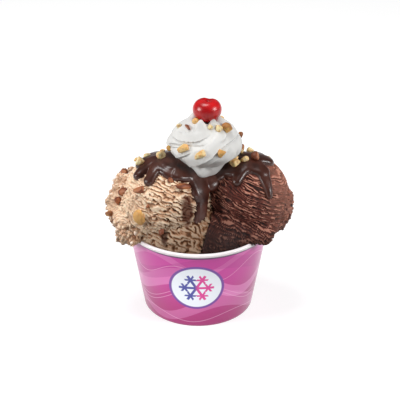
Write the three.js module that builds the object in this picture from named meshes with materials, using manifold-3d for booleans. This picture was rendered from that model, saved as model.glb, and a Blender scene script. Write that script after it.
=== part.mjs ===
// A two-scoop ice cream sundae in a paper cup. Millimetres, +Z up, the cup's foot at z = 0.
// The scoops sit side by side along X. Hot fudge runs over both, whipped cream stands in the
// valley between them with chopped nuts, and a cherry tops it.
import * as THREE from "three";
import { mergeVertices } from "three/addons/utils/BufferGeometryUtils.js";
import Module from "manifold-3d";

const wasm = await Module();
wasm.setup();

// Paper cup
const CUP_HEIGHT = 63;
const RIM_RADIUS = 50;
const ROLL_RADIUS = 1.4;
const FOOT_RADIUS = 37.5;
const PAPER = 0.6;
const FOLD_THICKNESS = 1.0;
const FOLD_HEIGHT = 6;
const BASE_THICKNESS = 0.8;
const CUP_SEGMENTS = 48;

// Gap that every piece keeps to its neighbours
const GAP = 0.35;

// Scoops: centre, radius of the ball, and the side (-1 left, 1 right) with the ragged skirt.
// The skirt stands out by these amounts at the side and in front, from an angle off the front,
// and changes from one to the other between two angles. Its plane leans by a share forwards.
const SCOOP_RADIUS = 30.2;
const PRALINE = {
  centre: new THREE.Vector3(-20.6, -5, 80),
  side: -1,
  skirt: { outer: 10.5, front: 10.5, starts: 15, turns: [35, 80], lean: -0.5 },
  seed: 3.7,
  ridges: 1.5,
  ridgeTilt: -0.2,
};
const CHOCOLATE = {
  centre: new THREE.Vector3(32.1, 3, 75.7),
  side: 1,
  skirt: { outer: 2.1, front: 12.5, starts: -24, turns: [6, 48], lean: 0.06 },
  seed: 11.2,
  ridges: 1.1,
  ridgeTilt: -0.3,
};
const BALL_DETAIL = 9;
const BRIM = CUP_HEIGHT - 2.2; // where the filling leaves the wall
const DOME_HEIGHT = 20; // height of the filling above its brim
// The praline flavour fills the cup inside this big ball, the chocolate flavour outside it
const SEAM = { centre: [-70, -10, 75], radius: 80 };

// Nuts and chunks bedded in the praline scoop: azimuth and polar angle in degrees, size in mm
const BEDDED_PIECES = [
  { azimuth: -32, polar: 90, reach: 4.2, height: 1.0 },
  { azimuth: -41, polar: 56, reach: 4.0, height: 1.3 },
  { azimuth: 20, polar: 44, reach: 4.6, height: 1.2 },
  { azimuth: -3, polar: 100, reach: 3.6, height: 0.9 },
  { azimuth: 150, polar: 62, reach: 4.2, height: 1.2 },
  { azimuth: -160, polar: 88, reach: 4.0, height: 1.0 },
];

// Hot fudge
const FUDGE_THICKNESS = 2.5;
const DRIP_SIDES = 8;
const DRIP_RINGS = 6;
// Each drip runs over its scoop between two places (azimuth, polar), with a half width at each end
const PRALINE_DRIPS = [
  { from: [-96, 12], to: [-64, 43], width: [7.4, 3.2] },
  { from: [-35, 12], to: [-33, 42], width: [4.6, 3.3] },
  { from: [10, 8], to: [21, 19], width: [6.5, 5.6] },
  { from: [80, 30], to: [55, 64], width: [9.0, 7.0] },
  { from: [62, 60], to: [42, 95], width: [5.6, 4.0] },
  { from: [-150, 10], to: [-146, 47], width: [5.0, 3.1] },
  { from: [170, 10], to: [176, 36], width: [5.6, 4.2] },
  { from: [128, 15], to: [134, 66], width: [6.0, 3.4] },
];
const CHOCOLATE_DRIPS = [
  { from: [-66, 24], to: [-62, 40], width: [7.0, 4.0] },
  { from: [-20, 14], to: [-20, 41], width: [6.8, 3.0] },
  { from: [20, 14], to: [42, 30], width: [7.2, 4.8] },
  { from: [42, 28], to: [32, 62], width: [4.8, 2.1] },
  { from: [110, 8], to: [104, 27], width: [6.5, 5.0] },
  { from: [150, 10], to: [150, 52], width: [5.4, 2.8] },
  { from: [-160, 12], to: [-154, 38], width: [6.0, 4.0] },
];
// The cap of fudge on each scoop: direction of its middle and its reach over the ball
const PRALINE_CAP = { azimuth: 60, polar: 16, reach: 16 };
const CHOCOLATE_CAP = { azimuth: -70, polar: 12, reach: 15 };
const POOL = { centre: [5.6, -1, 93.2], half: [12, 15.5, 7.6] };

// Whipped cream
const CREAM_CENTRE = [4.2, -0.3];
const CREAM_LOBES = 3;
const LIP_TWIST = 0.041; // radians that a lobe's lip turns for each millimetre of height
const LIP_START = { angle: -1.59, height: 117.6 };
const CREAM_SEGMENTS = 40;
const LOBE_DEPTH = 0.13;
// Outline of the swirl: radius at each height
const CREAM_OUTLINE = [
  [0, 96.4],
  [8.6, 97.4],
  [13.8, 99.4],
  [16.2, 102.6],
  [17.4, 106],
  [18.8, 109.4],
  [21.4, 112.6],
  [25, 115.6],
  [26.6, 119],
  [25.4, 122.8],
  [22.4, 127],
  [18.5, 130.6],
  [13.8, 133.8],
  [9, 135.8],
  [0, 135],
];

// Cherry
const CHERRY_CENTRE = new THREE.Vector3(5.8, 0, 142.6);
const CHERRY_RADIUS = 9.2;
const CHERRY_DETAIL = 3;

// Chopped nuts: on the cream by azimuth and height, on the fudge by azimuth and polar angle
const CREAM_NUTS = [
  { azimuth: -39, height: 121, size: 3.4 },
  { azimuth: -7, height: 117.4, size: 3.5 },
  { azimuth: 20, height: 119, size: 2.9 },
  { azimuth: -48, height: 134.4, size: 2.6 },
  { azimuth: 62, height: 131.4, size: 3.1 },
  { azimuth: -84, height: 130.2, size: 2.4 },
  { azimuth: 110, height: 126, size: 3.0 },
  { azimuth: 152, height: 119, size: 3.2 },
  { azimuth: -162, height: 127, size: 3.2 },
  { azimuth: -120, height: 119, size: 2.8 },
  { azimuth: 172, height: 133.4, size: 2.5 },
];
const PRALINE_NUTS = [
  { azimuth: -86, polar: 31, size: 3.1 },
  { azimuth: -118, polar: 26, size: 2.7 },
  { azimuth: -92, polar: 10, size: 3.3 },
  { azimuth: 176, polar: 24, size: 2.9 },
  { azimuth: 130, polar: 44, size: 2.6 },
];
const CHOCOLATE_NUTS = [
  { azimuth: -42, polar: 17, size: 3.9 },
  { azimuth: -8, polar: 12, size: 2.5 },
  { azimuth: 66, polar: 12, size: 3.4 },
  { azimuth: 140, polar: 20, size: 2.8 },
  { azimuth: -166, polar: 22, size: 2.8 },
  { azimuth: 108, polar: 24, size: 2.6 },
];
const NUT_SINK = 0.3; // share of a nut's size that is bedded

// Smooth value noise from 0 to 1, the same on every run
function lattice(i, j, k) {
  const s = Math.sin(i * 127.1 + j * 311.7 + k * 74.7) * 43758.5453;
  return s - Math.floor(s);
}

function noise(x, y, z) {
  const [i, j, k] = [Math.floor(x), Math.floor(y), Math.floor(z)];
  const ease = (t) => t * t * (3 - 2 * t);
  const [u, v, w] = [ease(x - i), ease(y - j), ease(z - k)];
  const mix = (a, b, t) => a + (b - a) * t;
  const edge = (dj, dk) => mix(lattice(i, j + dj, k + dk), lattice(i + 1, j + dj, k + dk), u);
  return mix(mix(edge(0, 0), edge(1, 0), v), mix(edge(0, 1), edge(1, 1), v), w);
}

const clamp01 = (t) => Math.min(1, Math.max(0, t));

function smoothstep(low, high, value) {
  const t = clamp01((value - low) / (high - low));
  return t * t * (3 - 2 * t);
}

// Unit direction from an azimuth (0 faces -Y, 90 faces +X) and an angle down from +Z
function direction(azimuth, polar) {
  const a = THREE.MathUtils.degToRad(azimuth);
  const p = THREE.MathUtils.degToRad(polar);
  return new THREE.Vector3(Math.sin(a) * Math.sin(p), -Math.cos(a) * Math.sin(p), Math.cos(p));
}

const azimuthOf = (d) => THREE.MathUtils.radToDeg(Math.atan2(d.x, -d.y));
const polarOf = (d) => THREE.MathUtils.radToDeg(Math.acos(THREE.MathUtils.clamp(d.z, -1, 1)));

// A closed three.js geometry as a solid for cutting and joining, with its faces turned outwards
function solid(geometry) {
  const bare = new THREE.BufferGeometry();
  bare.setAttribute("position", geometry.getAttribute("position").clone());
  bare.setIndex(geometry.index);
  const merged = mergeVertices(bare, 1e-3);
  const corners = [];
  for (let i = 0; i < merged.index.count; i += 3) {
    const [a, b, c] = [0, 1, 2].map((n) => merged.index.getX(i + n));
    if (a !== b && b !== c && a !== c) corners.push(a, b, c);
  }
  const vertProperties = merged.attributes.position.array;
  const at = (i) => new THREE.Vector3().fromArray(vertProperties, 3 * i);
  let volume = 0;
  for (let i = 0; i < corners.length; i += 3) {
    volume += at(corners[i]).dot(at(corners[i + 1]).cross(at(corners[i + 2])));
  }
  if (volume < 0) corners.reverse();
  const mesh = new wasm.Mesh({ numProp: 3, vertProperties, triVerts: new Uint32Array(corners) });
  return new wasm.Manifold(mesh);
}

// The largest body of a solid: loose scraps that a cut leaves are dropped
function largest(made) {
  return made.decompose().sort((a, b) => b.volume() - a.volume())[0];
}

function geometryOf(made) {
  const mesh = made.getMesh();
  const geometry = new THREE.BufferGeometry();
  const position = new Float32Array(mesh.numVert * 3);
  for (let i = 0; i < mesh.numVert; i++) {
    const start = i * mesh.numProp;
    position.set(mesh.vertProperties.subarray(start, start + 3), i * 3);
  }
  geometry.setAttribute("position", new THREE.BufferAttribute(position, 3));
  geometry.setIndex(new THREE.BufferAttribute(mesh.triVerts, 1));
  geometry.computeVertexNormals();
  return geometry;
}

// A profile of [radius, height] points turned about the vertical axis
function lathe(profile, segments) {
  const points = profile.map(([radius, height]) => new THREE.Vector2(radius, height));
  return new THREE.LatheGeometry(points, segments).rotateX(Math.PI / 2);
}

// A ball whose radius varies with direction
function ball(detail, centre, radiusAt) {
  const geometry = new THREE.IcosahedronGeometry(1, detail);
  const position = geometry.getAttribute("position");
  const d = new THREE.Vector3();
  for (let i = 0; i < position.count; i++) {
    d.fromBufferAttribute(position, i).normalize();
    d.multiplyScalar(radiusAt(d.clone())).add(centre);
    position.setXYZ(i, d.x, d.y, d.z);
  }
  return solid(geometry);
}

// Cup wall

const rollCentre = [RIM_RADIUS - ROLL_RADIUS, CUP_HEIGHT - ROLL_RADIUS];
const wallTopRadius = RIM_RADIUS - 2 * ROLL_RADIUS + PAPER;

function wallRadius(height) {
  return FOOT_RADIUS + ((wallTopRadius - FOOT_RADIUS) * height) / rollCentre[1];
}

// Wall, rolled rim and folded foot as one closed section
function cupWall() {
  const section = [[FOOT_RADIUS, 0]];
  const rollSteps = 8;
  const rollStart = -0.72 * Math.PI;
  const rollEnd = Math.PI;
  for (let i = 0; i <= rollSteps; i++) {
    const angle = rollStart + ((rollEnd - rollStart) * i) / rollSteps;
    const out = ROLL_RADIUS * Math.cos(angle);
    section.push([rollCentre[0] + out, rollCentre[1] + ROLL_RADIUS * Math.sin(angle)]);
  }
  section.push([wallRadius(FOLD_HEIGHT) - PAPER, FOLD_HEIGHT]);
  section.push([wallRadius(FOLD_HEIGHT) - PAPER - FOLD_THICKNESS, FOLD_HEIGHT]);
  section.push([FOOT_RADIUS - PAPER - FOLD_THICKNESS, 0]);
  section.push(section[0]);
  return solid(lathe(section, CUP_SEGMENTS));
}

// The wall and its rolled rim swelled by the gap, which the contents keep out of
function cupClearance() {
  const reach = ROLL_RADIUS + GAP;
  const section = [[wallRadius(-5) - PAPER - GAP, -5]];
  const arcSteps = 8;
  for (let i = 0; i <= arcSteps; i++) {
    const angle = Math.PI * (1 - i / arcSteps);
    section.push([rollCentre[0] + reach * Math.cos(angle), rollCentre[1] + reach * Math.sin(angle)]);
  }
  section.push([rollCentre[0] + reach, rollCentre[1] - reach]);
  section.push([wallRadius(-5) + GAP, -5], section[0]);
  return solid(lathe(section, CUP_SEGMENTS));
}

function cupBase() {
  const bottom = FOLD_HEIGHT + GAP;
  const top = bottom + BASE_THICKNESS;
  const edge = wallRadius(bottom) - PAPER - GAP;
  return solid(lathe([[0, bottom], [edge, bottom], [edge, top], [0, top]], CUP_SEGMENTS));
}

// Ice cream

// Torn skirt that a scoop leaves where its ball was cut free: it hangs over the cup's rim
function skirtAt(scoop, d) {
  const { outer, front, starts, turns, lean } = scoop.skirt;
  const upward = new THREE.Vector3(-0.42 * scoop.side, lean, 0.9);
  const below = smoothstep(0.14, 0.3, -d.dot(upward)) * (1 - smoothstep(124, 142, polarOf(d)));
  const around = scoop.side * azimuthOf(d);
  const turned = around < -90 ? around + 360 : around;
  const reach = front + (outer - front) * smoothstep(...turns, turned);
  const span = smoothstep(starts, starts + 18, turned) * (1 - 0.6 * smoothstep(120, 150, turned));
  const ends = 1 - smoothstep(210, 240, turned);
  const lumps = 0.3 + 0.9 * noise(5 * d.x + scoop.seed, 5 * d.y, 5 * d.z);
  const crags = 0.3 * noise(13 * d.x + scoop.seed, 13 * d.y, 13 * d.z);
  return reach * below * span * ends * (lumps + crags);
}

// Ridges that the scoop drags across the ball, along tilted latitude lines
function ridgesAt(scoop, d) {
  const latitude = d.z + scoop.ridgeTilt * -d.x;
  const wave = 0.5 * noise(2.6 * d.x + scoop.seed, 2.6 * d.y, 2.6 * d.z);
  const run = noise(1.6 * d.x, 1.6 * d.y + scoop.seed, 8.5 * (latitude + 0.35 * wave));
  const grain = noise(7 * d.x, 7 * d.y, 9 * d.z + scoop.seed);
  return scoop.ridges * (1.1 * run + 0.55 * grain - 0.8);
}

function beddedAt(d) {
  let height = 0;
  for (const piece of BEDDED_PIECES) {
    const away = d.angleTo(direction(piece.azimuth, piece.polar)) * SCOOP_RADIUS;
    height = Math.max(height, piece.height * (1 - smoothstep(0.5, 1, away / piece.reach)));
  }
  return height;
}

function scoopRadiusAt(scoop, d) {
  const bedded = scoop === PRALINE ? beddedAt(d) : 0;
  return SCOOP_RADIUS + ridgesAt(scoop, d) + skirtAt(scoop, d) + bedded;
}

function scoopBall(scoop, grow = 0) {
  return ball(BALL_DETAIL, scoop.centre, (d) => scoopRadiusAt(scoop, d) + grow);
}

// Ice cream that fills the cup under the balls and domes over its rim
function cupFilling(grow = 0) {
  const bottom = FOLD_HEIGHT + 2 * GAP + BASE_THICKNESS - grow;
  const inside = (height) => wallRadius(height) - PAPER - GAP + 2 * grow;
  const profile = [[0, bottom], [inside(bottom), bottom], [inside(BRIM), BRIM]];
  const domeSteps = 8;
  for (let i = 1; i <= domeSteps; i++) {
    const angle = (Math.PI * i) / (2 * domeSteps);
    const radius = i === domeSteps ? 0 : inside(BRIM) * Math.cos(angle) ** 0.75;
    profile.push([radius, BRIM + DOME_HEIGHT * Math.sin(angle)]);
  }
  const geometry = lathe(profile, CUP_SEGMENTS);
  const position = geometry.getAttribute("position");
  for (let i = 0; i < position.count; i++) {
    const [x, y, z] = [position.getX(i), position.getY(i), position.getZ(i)];
    if (z <= BRIM) continue;
    const lump = 3.4 * (noise(0.13 * x, 0.13 * y, 0.2 * z + 4.1) - 0.4);
    position.setXYZ(i, x, y, z + grow + lump * smoothstep(BRIM, BRIM + 6, z));
  }
  return solid(geometry);
}

// The side of the seam between the flavours that the praline takes
function pralineSide(grow = 0) {
  const geometry = new THREE.IcosahedronGeometry(SEAM.radius + grow, 9);
  return solid(geometry.translate(...SEAM.centre));
}

const clearance = cupClearance();
const pralineBall = scoopBall(PRALINE);
const pralineGrown = scoopBall(PRALINE, GAP).add(cupFilling(GAP).intersect(pralineSide(GAP)));
const chocolateGrown = scoopBall(CHOCOLATE, GAP).add(cupFilling(GAP));

const pralineScoop = largest(
  pralineBall.add(cupFilling().intersect(pralineSide())).subtract(clearance),
);
const chocolateScoop = largest(
  scoopBall(CHOCOLATE).add(cupFilling()).subtract(pralineGrown).subtract(clearance),
);

// Hot fudge

// A cap of fudge that thins to a rounded edge and dives under the ball's surface outside it
function fudgeCap(scoop, cap, grow) {
  const middle = direction(cap.azimuth, cap.polar);
  return ball(BALL_DETAIL, scoop.centre, (d) => {
    const away = d.angleTo(middle) * SCOOP_RADIUS;
    const inward = clamp01((cap.reach - away) / FUDGE_THICKNESS);
    const rounded = Math.sqrt(1 - (1 - inward) ** 2);
    const dive = away > cap.reach ? 4 : 1.2 * (1 - rounded);
    return SCOOP_RADIUS + FUDGE_THICKNESS * rounded - dive + grow;
  });
}

// A round-ended tongue of fudge lying on a scoop from one place to another
function fudgeDrip(scoop, drip, grow) {
  const start = direction(...drip.from);
  const end = direction(...drip.to);
  const arc = start.angleTo(end);
  const positions = [];
  const faces = [];
  const [startWidth, endWidth] = drip.width;
  const length = arc * SCOOP_RADIUS;
  const along = new THREE.Vector3().copy(end).addScaledVector(start, -start.dot(end)).normalize();
  const across = new THREE.Vector3().crossVectors(start, along);
  const place = (distance) => {
    const angle = distance / SCOOP_RADIUS;
    return new THREE.Vector3()
      .addScaledVector(start, Math.cos(angle))
      .addScaledVector(along, Math.sin(angle));
  };
  for (let ring = 0; ring <= DRIP_RINGS; ring++) {
    const swing = -Math.cos((Math.PI * ring) / DRIP_RINGS);
    const t = clamp01((swing + 1) / 2);
    const width = startWidth + (endWidth - startWidth) * t + grow;
    const distance = -startWidth - grow + (length + startWidth + endWidth + 2 * grow) * t;
    const fromEnd = Math.min(distance + startWidth + grow, length + endWidth + grow - distance);
    const round = Math.sqrt(clamp01(1 - (1 - clamp01(fromEnd / width)) ** 2));
    const up = place(distance);
    for (let side = 0; side < DRIP_SIDES; side++) {
      const turn = (2 * Math.PI * side) / DRIP_SIDES;
      const lift = SCOOP_RADIUS + 0.5 + (FUDGE_THICKNESS + 0.4 + grow) * round * Math.cos(turn);
      const spread = (width + 0.6) * round * Math.sin(turn);
      const point = up.clone().multiplyScalar(lift).addScaledVector(across, spread);
      positions.push(...point.add(scoop.centre).toArray());
    }
  }
  for (let ring = 0; ring < DRIP_RINGS; ring++) {
    for (let side = 0; side < DRIP_SIDES; side++) {
      const a = ring * DRIP_SIDES + side;
      const b = ring * DRIP_SIDES + ((side + 1) % DRIP_SIDES);
      faces.push(a, b, a + DRIP_SIDES, b, b + DRIP_SIDES, a + DRIP_SIDES);
    }
  }
  const geometry = new THREE.BufferGeometry();
  geometry.setAttribute("position", new THREE.Float32BufferAttribute(positions, 3));
  geometry.setIndex(faces);
  return solid(geometry);
}

function fudgePool(grow) {
  const geometry = new THREE.IcosahedronGeometry(1, 3);
  geometry.scale(...POOL.half.map((half) => half + grow)).translate(...POOL.centre);
  return solid(geometry);
}

// A chopped nut: a small uneven block with flat faces
function nutPiece(centre, size, seed) {
  const geometry = new THREE.IcosahedronGeometry(1, 0);
  const position = geometry.getAttribute("position");
  const d = new THREE.Vector3();
  for (let i = 0; i < position.count; i++) {
    d.fromBufferAttribute(position, i);
    const reach = 0.72 + 0.5 * noise(3 * d.x + seed, 3 * d.y + seed, 3 * d.z);
    position.setXYZ(i, d.x * reach * size, d.y * reach * size * 0.8, d.z * reach * size * 0.7);
  }
  geometry.rotateZ(seed * 1.7).rotateX(seed * 0.9);
  geometry.translate(centre.x, centre.y, centre.z);
  return solid(geometry);
}

function nutOnScoop(scoop, nut, seed, grow) {
  const lift = SCOOP_RADIUS + FUDGE_THICKNESS + nut.size * (0.7 - NUT_SINK);
  const centre = direction(nut.azimuth, nut.polar).multiplyScalar(lift).add(scoop.centre);
  return nutPiece(centre, nut.size + 2 * grow, seed);
}

// All the fudge and the nuts on it, before the scoops are taken out
function fudgeBody(grow = 0) {
  const pieces = [
    fudgeCap(PRALINE, PRALINE_CAP, grow),
    fudgeCap(CHOCOLATE, CHOCOLATE_CAP, grow),
    fudgePool(grow),
    ...PRALINE_DRIPS.map((drip) => fudgeDrip(PRALINE, drip, grow)),
    ...CHOCOLATE_DRIPS.map((drip) => fudgeDrip(CHOCOLATE, drip, grow)),
    ...PRALINE_NUTS.map((nut, i) => nutOnScoop(PRALINE, nut, i + 1, grow)),
    ...CHOCOLATE_NUTS.map((nut, i) => nutOnScoop(CHOCOLATE, nut, i + 21, grow)),
  ];
  return pieces.reduce((made, piece) => made.add(piece));
}

function hotFudge() {
  const bare = fudgeBody().subtract(pralineGrown).subtract(chocolateGrown);
  return largest(bare.subtract(clearance));
}

// Whipped cream

// Lobes overlap like petals: each swells towards its lip and steps in beyond it
function creamSwell(angle, height) {
  const lip = LIP_START.angle + LIP_TWIST * (height - LIP_START.height);
  const turn = (CREAM_LOBES * (lip - angle)) / (2 * Math.PI);
  const share = turn - Math.floor(turn);
  const step = smoothstep(0.9, 1, share);
  const flutes = 0.02 * Math.cos(6 * Math.PI * share);
  return 1 + flutes - LOBE_DEPTH * (1 - step) * (share / 0.9) ** 1.2;
}

function creamSwirl() {
  const geometry = lathe(CREAM_OUTLINE, CREAM_SEGMENTS);
  const position = geometry.getAttribute("position");
  for (let i = 0; i < position.count; i++) {
    const [x, y, z] = [position.getX(i), position.getY(i), position.getZ(i)];
    const swell = creamSwell(Math.atan2(y, x), z);
    position.setXYZ(i, x * swell + CREAM_CENTRE[0], y * swell + CREAM_CENTRE[1], z);
  }
  return solid(geometry);
}

function creamRadius(height) {
  const above = CREAM_OUTLINE.findIndex(([, z], i) => i > 0 && z >= height);
  const [[r0, z0], [r1, z1]] = [CREAM_OUTLINE[above - 1], CREAM_OUTLINE[above]];
  return r0 + ((r1 - r0) * (height - z0)) / (z1 - z0);
}

function nutOnCream(nut, seed) {
  const out = direction(nut.azimuth, 90);
  const swell = creamSwell(Math.atan2(out.y, out.x), nut.height);
  const reach = creamRadius(nut.height) * swell + nut.size * (0.5 - NUT_SINK);
  const centre = new THREE.Vector3(CREAM_CENTRE[0], CREAM_CENTRE[1], nut.height);
  return nutPiece(centre.addScaledVector(out, reach), nut.size, seed);
}

// A cherry with a dimple where its stem was
function cherry(grow = 0) {
  return ball(CHERRY_DETAIL, CHERRY_CENTRE, (d) => {
    const dimple = 2.2 * Math.exp(-((polarOf(d) / 24) ** 2)) + 1.2 * Math.exp(-((polarOf(d) / 48) ** 2));
    const shoulders = 0.4 * smoothstep(30, 60, polarOf(d)) * (1 - smoothstep(70, 115, polarOf(d)));
    const taper = 0.4 * smoothstep(100, 140, polarOf(d)) - 0.8 * smoothstep(150, 180, polarOf(d));
    return CHERRY_RADIUS + shoulders - dimple - taper + grow;
  });
}

function whippedCream() {
  let made = creamSwirl();
  CREAM_NUTS.forEach((nut, i) => (made = made.add(nutOnCream(nut, i + 41))));
  made = made.subtract(fudgeBody(GAP)).subtract(cherry(GAP));
  return largest(made.subtract(pralineGrown).subtract(chocolateGrown));
}

// Scene

const MATERIALS = {
  paper: new THREE.MeshStandardMaterial({ color: 0xc23f9b, roughness: 0.35, metalness: 0 }),
  board: new THREE.MeshStandardMaterial({ color: 0xf2eff0, roughness: 0.6, metalness: 0 }),
  praline: new THREE.MeshStandardMaterial({ color: 0xd9ac8c, roughness: 0.6, metalness: 0 }),
  chocolate: new THREE.MeshStandardMaterial({ color: 0x5e342b, roughness: 0.6, metalness: 0 }),
  fudge: new THREE.MeshStandardMaterial({ color: 0x2e1712, roughness: 0.2, metalness: 0 }),
  cream: new THREE.MeshStandardMaterial({ color: 0xf4f1ea, roughness: 0.5, metalness: 0 }),
  cherry: new THREE.MeshStandardMaterial({ color: 0xc0141c, roughness: 0.12, metalness: 0 }),
};

const sundae = new THREE.Group();

function addPiece(name, made, material) {
  const mesh = new THREE.Mesh(geometryOf(made), material);
  mesh.name = name;
  sundae.add(mesh);
}

addPiece("cup_wall", cupWall(), MATERIALS.paper);
addPiece("cup_base", cupBase(), MATERIALS.board);
addPiece("praline_scoop", pralineScoop, MATERIALS.praline);
addPiece("chocolate_scoop", chocolateScoop, MATERIALS.chocolate);
addPiece("hot_fudge", hotFudge(), MATERIALS.fudge);
addPiece("whipped_cream", whippedCream(), MATERIALS.cream);
addPiece("cherry", cherry(), MATERIALS.cherry);

export default sundae;
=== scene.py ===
# %% [markdown]
# A two-scoop ice cream sundae in a paper cup
#
# The CAD frame brings the true forms: a squat cup, two balls of ice cream that press into each
# other, hot fudge, a piped rosette of cream and a cherry. This lesson dresses each of them. Every
# length is in metres, +Z is up and the shown side faces -Y.

import math

import bmesh
import bpy
import numpy as np
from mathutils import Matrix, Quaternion, Vector
from mathutils.bvhtree import BVHTree


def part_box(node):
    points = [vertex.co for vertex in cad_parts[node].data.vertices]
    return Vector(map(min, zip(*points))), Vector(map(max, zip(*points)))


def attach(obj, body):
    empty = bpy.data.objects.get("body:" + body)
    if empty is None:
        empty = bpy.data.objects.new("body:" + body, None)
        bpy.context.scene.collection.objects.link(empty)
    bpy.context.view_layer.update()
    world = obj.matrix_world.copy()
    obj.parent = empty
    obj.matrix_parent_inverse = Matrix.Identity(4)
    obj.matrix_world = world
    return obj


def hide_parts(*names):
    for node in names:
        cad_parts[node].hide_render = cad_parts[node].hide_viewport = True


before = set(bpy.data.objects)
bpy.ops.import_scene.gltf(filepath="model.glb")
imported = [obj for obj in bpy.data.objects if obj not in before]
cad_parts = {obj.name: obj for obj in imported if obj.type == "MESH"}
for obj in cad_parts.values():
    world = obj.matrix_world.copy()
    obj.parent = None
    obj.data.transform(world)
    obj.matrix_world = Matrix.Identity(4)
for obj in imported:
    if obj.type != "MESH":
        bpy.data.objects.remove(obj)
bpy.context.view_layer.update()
MM = 0.001

# %% [markdown]
# Maths in node trees reads best as plain expressions. A small class wraps a node socket, and its
# operators add Math nodes. Every other node comes from one method that sets the node's own
# settings first and then fills its sockets with values or links. Materials and Geometry Nodes
# share both.


# %% Node trees as Python expressions
class Wave:
    """A number that changes over a surface."""

    def __init__(self, home, socket):
        self.home = home
        self.socket = socket

    def _math(self, operation, *values):
        made = self.home.add("ShaderNodeMath", {"operation": operation}, dict(enumerate(values)))
        return Wave(self.home, made.outputs[0])

    def __add__(self, other):
        return self._math("ADD", self, other)

    def __sub__(self, other):
        return self._math("SUBTRACT", self, other)

    def __mul__(self, other):
        return self._math("MULTIPLY", self, other)

    def __truediv__(self, other):
        return self._math("DIVIDE", self, other)

    def __pow__(self, other):
        return self._math("POWER", self, other)

    def __rsub__(self, other):
        return self._math("SUBTRACT", other, self)

    __radd__ = __add__
    __rmul__ = __mul__

    def sine(self):
        return self._math("SINE", self)

    def size(self):
        return self._math("ABSOLUTE", self)

    def fraction(self):
        return self._math("FRACT", self)

    def most(self, other):
        return self._math("MAXIMUM", self, other)

    def ease(self, low, high):
        """0 at low, 1 at high and a smooth step between them."""
        settings = {"interpolation_type": "SMOOTHSTEP"}
        sockets = {0: self, 1: low, 2: high}
        return Wave(self.home, self.home.add("ShaderNodeMapRange", settings, sockets).outputs[0])


class Tree:
    """What materials and Geometry Nodes have in common."""

    def add(self, kind, settings=None, sockets=None):
        node = self.nodes.new(kind)
        for name, value in (settings or {}).items():
            setattr(node, name, value)
        for key, value in (sockets or {}).items():
            self.feed(node.inputs[key], value)
        return node

    def feed(self, socket, value):
        if isinstance(value, Wave):
            value = value.socket
        if isinstance(value, bpy.types.NodeSocket):
            self.links.new(value, socket)
        elif socket.type == "RGBA" and len(value) == 3:
            socket.default_value = (*value, 1)
        else:
            socket.default_value = value

    def vector(self, operation, first, second):
        sockets = {0: first, 1: second}
        made = self.add("ShaderNodeVectorMath", {"operation": operation}, sockets)
        return made.outputs["Value" if operation == "DOT_PRODUCT" else "Vector"]

    def noise(self, spot, scale=1.0, detail=2.0, rough=0.5):
        """Soft noise from 0 to 1."""
        sockets = {"Vector": spot, "Scale": scale, "Detail": detail, "Roughness": rough}
        return Wave(self, self.add("ShaderNodeTexNoise", None, sockets).outputs[0])

    def grain(self, per_metre, detail=2.0):
        """Noise over the piece, with a number of lumps per metre."""
        return self.noise(self.place, per_metre, detail)

    def split(self, vector):
        made = self.add("ShaderNodeSeparateXYZ", None, {0: vector})
        return [Wave(self, socket) for socket in made.outputs]

    def join(self, x=0.0, y=0.0, z=0.0):
        return self.add("ShaderNodeCombineXYZ", None, {0: x, 1: y, 2: z}).outputs[0]

    def length(self, vector):
        made = self.add("ShaderNodeVectorMath", {"operation": "LENGTH"}, {0: vector})
        return Wave(self, made.outputs["Value"])

    def along(self, direction):
        """How far a place lies along a direction, in metres."""
        return Wave(self, self.vector("DOT_PRODUCT", self.place, direction))


class Finish(Tree):
    """A procedural material with one Principled shader."""

    def __init__(self, name, colour, **constants):
        self.material = bpy.data.materials.new(name)
        self.material.use_nodes = True
        self.material.diffuse_color = (*colour, 1)
        self.nodes = self.material.node_tree.nodes
        self.links = self.material.node_tree.links
        self.shader = self.nodes["Principled BSDF"]
        self.place = self.add("ShaderNodeTexCoord").outputs["Object"]
        self.set(Base_Color=colour, **constants)

    def attribute(self, name):
        made = self.add("ShaderNodeAttribute", {"attribute_name": name})
        return Wave(self, made.outputs["Fac"])

    def mix(self, share, under, over):
        """A colour that goes from under to over as share goes from 0 to 1."""
        sockets = {0: share, 6: under, 7: over}
        return self.add("ShaderNodeMix", {"data_type": "RGBA"}, sockets).outputs[2]

    def bump(self, height, distance, strength=1.0):
        sockets = {"Height": height, "Distance": distance, "Strength": strength}
        made = self.add("ShaderNodeBump", None, sockets)
        self.links.new(made.outputs[0], self.shader.inputs["Normal"])

    def set(self, **sockets):
        for name, value in sockets.items():
            self.feed(self.shader.inputs[name.replace("_", " ")], value)
        return self.material


def srgb(red, green, blue):
    """A screen colour from 0 to 255 as the linear colour that Blender wants."""
    shares = [c / 255 for c in (red, green, blue)]
    return tuple(c / 12.92 if c <= 0.04045 else ((c + 0.055) / 1.055) ** 2.4 for c in shares)


print("fudge brown in linear colour", [round(c, 3) for c in srgb(58, 30, 24)])

# %% [markdown]
# Geometry Nodes hold the rules of this object's shapes: the torn ridges, the scatter of nuts and
# crumbs. A rule is one tree with named inputs. Running it puts its modifier on an object, sets the
# inputs by their sockets' identifiers, and turns the result into a plain mesh.


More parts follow.
